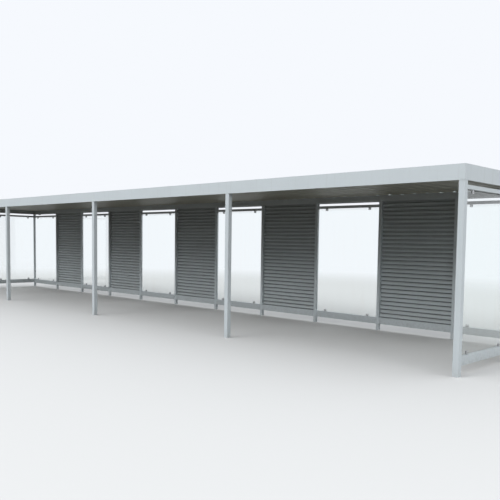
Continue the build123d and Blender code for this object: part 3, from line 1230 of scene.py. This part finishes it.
@dataclass
class WallSheets(Assembly):
    """Corrugated sheets of the five closed fields, with cover strips and screws behind."""

    count: int = 5
    wave_pitch: float = 0.075
    wave_depth: float = 0.022
    crown: float = 0.040  # height of the flat toward the front
    trough: float = 0.015  # height of the flat toward the back
    foot: float = 0.003  # part of a trough left below the first wave
    bend: float = 0.30  # share of a flank's height over which each of its two bends is eased
    thickness: float = 0.001
    trough_mark: float = 0.9  # painted shade mark at the upper end of a trough
    mark_end: float = 1.3  # where the mark ends over a trough, in heights of the flank
    strip_width: float = 0.046  # width of a cover strip behind a post
    strip_thickness: float = 0.003
    strip_edge: float = 0.0008
    strip_gap: float = 0.0002  # gap between a post and its strip
    strip_inset: float = 0.004  # strip axis from the sheet's side
    screw_inset: float = 0.014  # screw axis from the sheet's side
    screw_every: int = 3  # troughs from one screw to the next

    @property
    def flank(self) -> float:
        """Height of the slope between a crown and a trough."""
        return (self.wave_pitch - self.crown - self.trough) / 2

    def sheet(self, number: int) -> Shape:
        """One sheet of wide crowns and narrow troughs with steep, eased flanks.

        Along its height the sheet comes forward by wave_depth times eased_ramp(u), where
        u = (half of crown + flank - distance from the middle of the nearest crown) / flank;
        the bends sit where u is 0 and 1, and each is eased over bend of a flank to both sides.

        Args:
            number: number of the sheet from the left.

        Returns:
            The sheet; the first half of its points are those of its front.
        """
        low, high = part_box(f"corrugated_panel_{number}")
        flank, height = self.flank, high.z - low.z
        eased = np.linspace(-self.bend, self.bend, 4) * flank
        rise = np.concatenate([eased, flank + eased])
        wave = np.concatenate([rise, 2 * flank + self.crown - rise[::-1]])
        waves = np.arange(int(height / self.wave_pitch) + 1)
        z = (self.foot + waves[:, None] * self.wave_pitch + wave).ravel()
        z = np.concatenate([[0.0], z[(z > self.thickness) & (z < height - self.thickness)], [height]])
        crown_middle = self.foot + flank + self.crown / 2
        off = np.abs((z - crown_middle + self.wave_pitch / 2) % self.wave_pitch - self.wave_pitch / 2)
        out = self.wave_depth * eased_ramp((self.crown / 2 + flank - off) / flank, self.bend)
        line = np.stack([high.y - self.thickness / 2 - out, low.z + z], -1)
        inner = offset_line(line, self.thickness / 2)
        outer = offset_line(line, -self.thickness / 2)
        inner[[0, -1], 1] = outer[[0, -1], 1] = line[[0, -1], 1]

        def face(profile: np.ndarray) -> np.ndarray:
            """Draws a profile out along X."""
            x, y, z = np.broadcast_arrays(np.array([[low.x], [high.x]]), profile[:, 0], profile[:, 1])
            return np.stack([x, y, z], -1)

        return thick_sheet(face(inner), face(outer))

    def folds(self, places: np.ndarray) -> np.ndarray:
        """Marks where shade is painted on the front: up a trough and under the crown over it.

        The mark grows from 0 up a trough to the trough's mark, to 1 on the flank over it, and
        ends just past that flank. The back, which is the second half of the places, has none.

        Args:
            places: vertex places of a sheet, n by 3.

        Returns:
            The mark of each vertex.
        """
        along = (places[:, 2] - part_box("corrugated_panel_1")[0].z - self.foot) % self.wave_pitch
        end, trough = self.mark_end * self.flank, self.wave_pitch - self.trough
        stops = [0.0, self.flank, end, trough, self.wave_pitch]
        mark = np.interp(along, stops, [self.trough_mark, 1.0, 0.0, 0.0, self.trough_mark])
        mark[len(mark) // 2:] = 0.0
        return mark

    def fixings(self, number: int) -> tuple[Shape, Shape]:
        """Screws down both sides of a sheet, and cover strips behind both, over the posts' back faces.

        Args:
            number: number of the sheet from the left.

        Returns:
            The screws, in every third trough, and the two strips.
        """
        low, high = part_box(f"corrugated_panel_{number}")
        waves = np.arange(1, int((high.z - low.z) / self.wave_pitch), self.screw_every)
        levels = low.z + self.foot + waves * self.wave_pitch - self.trough / 2
        sides = (low.x + self.screw_inset, high.x - self.screw_inset)
        places = [(x, high.y - self.thickness, level) for x in sides for level in levels]
        screws = sheet_screw(washer=0.014, washer_thickness=0.0018).placed(places, FACING_FRONT)
        strip = rounded_block(self.strip_width, self.strip_thickness, high.z - low.z, self.strip_edge)
        y = self.plan.post_back_y + self.strip_thickness / 2 + self.strip_gap
        sides = (low.x + self.strip_inset, high.x - self.strip_inset)
        return screws, strip.placed([(x, y, (low.z + high.z) / 2) for x in sides])

    def build(self) -> Iterator[Object]:
        """Makes the sheets, their screws and their strips.

        Returns:
            Each new piece in turn.
        """
        numbers = range(1, self.count + 1)
        for number in numbers:
            sheet = piece(f"wave_sheet_{number}", self.sheet(number), Slot.WALL_SHEET,
                          [self.finishes.wall_coat], smooth_below=60.0)
            mark_shade(sheet, self.folds)
            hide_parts(f"corrugated_panel_{number}")
            yield sheet
        screws, strips = map(joined, zip(*map(self.fixings, numbers)))
        yield piece("wall_sheet_screws", screws, Slot.WALL_SHEET, [self.finishes.screw_coat])
        yield piece("wall_cover_strips", strips, Slot.WALL_SHEET, [self.finishes.frame_paint])


@dataclass
class Clamp:
    """Padded clamp that stands up from a rail on the XY plane, with the pane's edge along X."""

    width: float = 0.045  # size along the pane's edge
    depth: float = 0.030  # size through the pane
    height: float = 0.045  # size from the rail
    jaw_edge: float = 0.0022
    foot_edge: float = 0.002
    foot_inset: float = 0.001  # how far the foot is drawn in from the jaws, and its gap to the pane
    pad: float = 0.0015  # thickness of the rubber pads
    pad_edge: float = 0.0004
    pad_reach: float = 0.001  # how far a pad stands past each side of its jaw
    pad_over: float = 0.0005  # how far a pad stands over its jaw
    pad_shift: float = 0.0002  # how far a pad is moved off the pane
    screw_inset: float = 0.011  # screw axes from the middle of the clamp
    screw_share: float = 0.62  # level of the screws, share of the height
    # radii of a screw head and its socket, from the foot up and into the socket
    screw_radii: tuple[float, ...] = (0.0048, 0.0048, 0.0042, 0.0022, 0.0019, 0.0019)
    # heights of those radii over the jaw
    screw_levels: tuple[float, ...] = (-0.0005, 0.0022, 0.0030, 0.0030, 0.0028, 0.0010)

    def shape(self, plan: Plan) -> Shape:
        """Two jaws on a foot hold the pane between pads, with two round screw heads in each jaw.

        Args:
            plan: shared planes of the frame.

        Returns:
            The clamp, whose pads have material 1 and screws material 2.
        """
        jaw = (self.depth - plan.glass) / 2 - self.pad
        foot_height, inset = plan.glass_gap - self.foot_inset, 2 * self.foot_inset
        foot = rounded_block(self.width - inset, self.depth - inset, foot_height, self.foot_edge)
        cheek = rounded_block(self.width, jaw, self.height, self.jaw_edge)
        pad = rounded_block(self.width + 2 * self.pad_reach, self.pad + self.pad_reach,
                            self.height - foot_height + self.pad_over, self.pad_edge, steps=1)
        head = carried(circles(self.screw_radii, self.screw_levels))
        shapes = [foot.placed((0, 0, foot_height / 2))]
        for way, turn in ((-1, FACING_FRONT), (1, FACING_BACK)):
            pad_y = way * (plan.glass / 2 + self.pad / 2 + self.pad_shift)
            screws = [(x, way * self.depth / 2, self.height * self.screw_share)
                      for x in (-self.screw_inset, self.screw_inset)]
            shapes += [cheek.placed((0, way * (self.depth / 2 - jaw / 2), self.height / 2)),
                       pad.placed((0, pad_y, (self.height + foot_height) / 2)).painted(1),
                       head.placed(screws, turn).painted(2)]
        return joined(shapes)


@dataclass
class Glazing(Assembly):
    """Clear panes with polished edges, held by padded clamps."""

    clamp: Clamp = field(default_factory=Clamp)
    arris: float = 0.0012  # width of the polished chamfer round a pane
    clamp_share: float = 0.15  # clamp axis from the field's side, share of the field
    back_count: int = 6

    def pane(self, corners: list[tuple[float, float]], centre: float, along_x: bool) -> Shape:
        """One pane: its outline at four stops through the thickness, drawn in at the outer two.

        Args:
            corners: the pane's four corners as (along, level), counter-clockwise.
            centre: place of the pane's middle across the wall.
            along_x: whether the pane lies along X; otherwise along Y.

        Returns:
            The pane, whose edge faces have material 1.
        """
        outline = np.array(corners)
        inward = -np.sign(outline - outline.mean(0))
        half, arris = self.plan.glass / 2, self.arris
        rings = []
        for across, inset in ((-half, arris), (-half + arris, 0.0), (half - arris, 0.0), (half, arris)):
            along, level = (outline + inward * inset).T
            depth = np.full(len(along), centre + across)
            rings.append(np.column_stack((along, depth, level) if along_x else (depth, along, level)))
        shape = carried(np.array(rings))
        shape.faces[0] = (shape.faces[0][0], 1)
        return shape

    def back_pane(self, number: int) -> Shape:
        """Pane of the back wall, on the box of its node.

        Args:
            number: number of the pane from the left.

        Returns:
            The pane.
        """
        low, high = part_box(f"back_glass_{number}")
        corners = [(low.x, low.z), (high.x, low.z), (high.x, high.z), (low.x, high.z)]
        return self.pane(corners, (low.y + high.y) / 2, True)

    def end_panes(self, side: Side) -> Shape:
        """Both panes of an end wall, whose tops fall with the roof.

        Args:
            side: the end.

        Returns:
            The panes as one shape.
        """
        foot, gap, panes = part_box(f"{side.word}_glass")[0].z, self.plan.glass_gap, []
        for limits in self.plan.end_fields(side):
            y0, y1 = limits[0] + gap, limits[1] - gap
            top0, top1 = (self.plan.falling(self.plan.end_rail_foot - gap, y) for y in (y0, y1))
            corners = [(y0, foot), (y1, foot), (y1, top1), (y0, top0)]
            panes.append(self.pane(corners, side.value * self.plan.end_x, False))
        return joined(panes)

    def stations(self, fields: list[Span]) -> list[float]:
        """Places of the two clamps along each field."""
        share = self.clamp_share
        return [place for a, b in fields for place in (a + share * (b - a), b - share * (b - a))]

    def clamps(self, seats: list[tuple[Place, Place]], turn: np.ndarray) -> Shape:
        """Clamps in pairs, on the bottom rail and under the top rail.

        Args:
            seats: places of each pair, the lower one first.
            turn: rotation that lays the pane's edge along the wall.

        Returns:
            The clamps as one shape.
        """
        clamp, shapes = self.clamp.shape(self.plan), []
        for low, high in seats:
            shapes += [clamp.placed(low, turn), clamp.placed(high, turn @ FACING_DOWN)]
        return joined(shapes)

    def back_seats(self) -> list[tuple[Place, Place]]:
        """Places of the back wall's clamps in pairs.

        Returns:
            The places.
        """
        y = float(middle("back_glass_1")[1])
        rail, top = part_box("back_bottom_rails")[1].z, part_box("back_top_rails")[0].z
        return [((x, y, rail), (x, y, top)) for x in self.stations(self.plan.back_fields()[::2])]

    def end_seats(self, side: Side) -> list[tuple[Place, Place]]:
        """Places of an end wall's clamps in pairs; the upper ones follow the fall of the rail.

        Args:
            side: the end.

        Returns:
            The places.
        """
        rail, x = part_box(f"{side.word}_bottom_rails")[1].z, side.value * self.plan.end_x
        top, half = self.plan.end_rail_foot, self.clamp.width / 2
        return [((x, y, rail), (x, y, self.plan.falling(top, y + half)))
                for y in self.stations(self.plan.end_fields(side))]

    def build(self) -> Iterator[Object]:
        """Makes the panes and the clamps.

        Returns:
            Each new piece in turn.
        """
        made = self.finishes
        glass, metal = [made.glass, made.glass_edge], [made.clamp_metal, made.rubber, made.stainless]
        for number in range(1, self.back_count + 1):
            pane = piece(f"back_pane_{number}", self.back_pane(number), Slot.GLASS, glass,
                         smooth_below=20.0)
            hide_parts(f"back_glass_{number}")
            yield pane
        back = piece("back_pane_clamps", self.clamps(self.back_seats(), np.eye(3)), Slot.CLAMPS, metal)
        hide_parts("back_glass_clamps")
        yield back
        for side in Side:
            pane = piece(f"{side.word}_panes", self.end_panes(side), Slot.GLASS, glass, smooth_below=20.0)
            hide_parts(f"{side.word}_glass")
            yield pane
            ends = self.clamps(self.end_seats(side), ALONG_Y)
            clamps = piece(f"{side.word}_pane_clamps", ends, Slot.CLAMPS, metal)
            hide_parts(f"{side.word}_glass_clamps")
            yield clamps


@dataclass(frozen=True)
class Lamp:
    """A wide square lamp that looks at the middle of the shelter."""

    name: str
    place: Place  # where it hangs
    size: float  # side of its square
    share: float  # light it gives, as a share of what an open sky of strength 1 gives
    aim: Place = (0.0, 0.0, 1.2)  # where it looks

    def hang(self) -> None:
        """Hangs the lamp; its power grows with the square of its distance."""
        data = bpy.data.lights.new(self.name, "AREA")
        away = Vector(self.place) - Vector(self.aim)
        data.size, data.energy = self.size, self.share * math.pi ** 2 * away.length_squared
        turned = away.to_track_quat("Z", "Y").to_matrix().to_4x4()
        linked(self.name, data).matrix_world = Matrix.Translation(self.place) @ turned


@dataclass
class Studio:
    """Camera, floor and soft light."""

    eye: Place = (11.8039, -8.6964, 1.6315)  # place of the camera
    turn: float = 44.77  # degrees that it looks to the left of +Y
    tilt: float = -3.949  # degrees that it looks up
    roll: float = 0.788  # degrees that it leans to the left
    lens: float = 46.26  # focal length in millimetres on the usual sensor
    rise: float = 0.06774  # upward shift of the frame, share of its width
    reach: float = 500.0
    backdrop: Colour = srgb(246, 249, 254)
    sky_light: Colour = (1.33, 1.37, 1.43)  # colour and strength of the sky's light, halfway up
    # share of that light near the horizon, and the heights between which it grows
    skyline: tuple[float, float, float] = (0.12, 0.05, 0.45)
    # share of that light straight above, and the heights between which it falls
    overhead: tuple[float, float, float] = (0.9, 0.72, 1.0)
    floor_rings: tuple[float, ...] = (0.02, 6.0, 12.0, 20.0, 70.0)  # radii of the floor's rings of points
    floor_steps: int = 48
    floor_fade: Span = (10.0, 22.0)  # distances between which the floor turns into the backdrop
    floor_seen: Colour = (0.56, 0.56, 0.55)  # floor colour as it is seen
    floor_lit: Colour = (0.080, 0.0735, 0.0625)  # floor colour as it lights the object
    lamps: tuple[Lamp, ...] = (Lamp("front_softbox", (0.0, -27.0, 20.0), size=18.0, share=0.40),
                               Lamp("side_softbox", (24.0, -5.0, 5.0), size=7.0, share=0.12))

    def camera(self) -> None:
        """Places the camera at the viewing angle, with its three axes from turn, tilt and roll."""
        turn, tilt, roll = (math.radians(a) for a in (self.turn, self.tilt, self.roll))
        flat = math.cos(tilt)
        forward = Vector((-math.sin(turn) * flat, math.cos(turn) * flat, math.sin(tilt)))
        level = Vector((math.cos(turn), math.sin(turn), 0))
        up = level.cross(forward)
        right = math.cos(roll) * level + math.sin(roll) * up
        above = -math.sin(roll) * level + math.cos(roll) * up
        data = bpy.data.cameras.new("camera")
        data.lens, data.shift_y, data.clip_end = self.lens, self.rise, self.reach
        camera = linked("camera", data)
        turned = Matrix((right, above, -forward)).transposed().to_4x4()
        camera.matrix_world = Matrix.Translation(self.eye) @ turned
        bpy.context.scene.camera = camera

    def seen_rays(self, graph: Graph) -> Socket:
        """1 for rays that show a thing to the eye, straight or by glass and gloss.

        A ray that a matt surface has scattered before carries light and does not count.

        Args:
            graph: graph that asks.

        Returns:
            The output that gives 1 or 0.
        """
        rays = graph.node("LightPath").outputs
        both = graph.math("MAXIMUM", rays["Is Camera Ray"], rays["Is Glossy Ray"])
        shown = graph.math("MAXIMUM", both, rays["Is Transmission Ray"])
        scattered = graph.math("GREATER_THAN", rays["Diffuse Depth"], 0.5)
        return graph.math("SUBTRACT", shown, scattered, clamp=True)

    def world(self) -> None:
        """Plain sky: the backdrop colour to the eye, and a soft light to the object.

        The light is weakest at the horizon, full halfway up and weaker overhead; rise is the
        sine of the angle over the horizon.
        """
        world = bpy.data.worlds.new("Plain sky")
        graph = emptied(world)
        rise = graph.rise(graph.node("TexCoord").outputs["Generated"])
        (low, *growing), (high, *falling) = self.skyline, self.overhead
        level = graph.product(graph.ramp(rise, growing, (low, 1.0)),
                              graph.ramp(rise, falling, (1.0, high)))
        light = graph.node("VectorMath", {0: self.sky_light, "Scale": level}, operation="SCALE")
        colour = graph.mixed(self.seen_rays(graph), light.outputs[0], self.backdrop)
        sky = graph.node("Background", {"Color": colour, "Strength": 1.0})
        graph.node("OutputWorld", {"Surface": sky.outputs[0]})
        bpy.context.scene.world = world

    def floor(self) -> None:
        """A round plain floor that turns into the backdrop far away."""
        rings, steps = self.floor_rings, self.floor_steps
        points = circles(rings, np.zeros(len(rings)), steps).reshape(-1, 3)
        quads = grid_quads(len(rings), steps, wrap=True)
        mesh = bpy.data.meshes.new("floor")
        mesh.from_pydata(points.tolist(), [], quads.tolist() + [list(range(steps))])
        mesh.update()
        material = bpy.data.materials.new("Plain pale floor")
        graph = emptied(material)
        place = graph.node("TexCoord").outputs["Object"]
        away = graph.node("VectorMath", {0: place}, operation="LENGTH").outputs["Value"]
        seen = self.seen_rays(graph)
        plain = graph.node("BsdfDiffuse", {"Color": graph.mixed(seen, self.floor_lit, self.floor_seen)})
        far = graph.node("Emission", {"Color": self.backdrop, "Strength": 1.0})
        fade = graph.product(graph.ramp(away, self.floor_fade), seen)
        shader = graph.node("MixShader", {0: fade, 1: plain.outputs[0], 2: far.outputs[0]})
        graph.node("OutputMaterial", {"Surface": shader.outputs[0]})
        mesh.materials.append(material)
        linked("floor", mesh)

    def build(self) -> None:
        """Sets up the view, the floor and the light."""
        self.camera()
        self.world()
        self.floor()
        for lamp in self.lamps:
            lamp.hang()
        bpy.context.scene.view_settings.view_transform = "Standard"


def main() -> None:
    """Builds the studio and every sub-assembly in order, and reports each piece."""
    logging.basicConfig(level=logging.INFO, format="%(message)s")
    Studio().build()
    LOG.info("studio ready")
    finishes, plan = Finishes(), Plan()
    for kind in (SteelFrame, RoofDeck, RoofEdge, RearGutter, WallSheets, Glazing):
        for made in kind(plan, finishes).build():
            LOG.info("%s: %s, %d faces", kind.__name__, made.name, len(made.data.polygons))


if __name__ == "__main__":
    main()
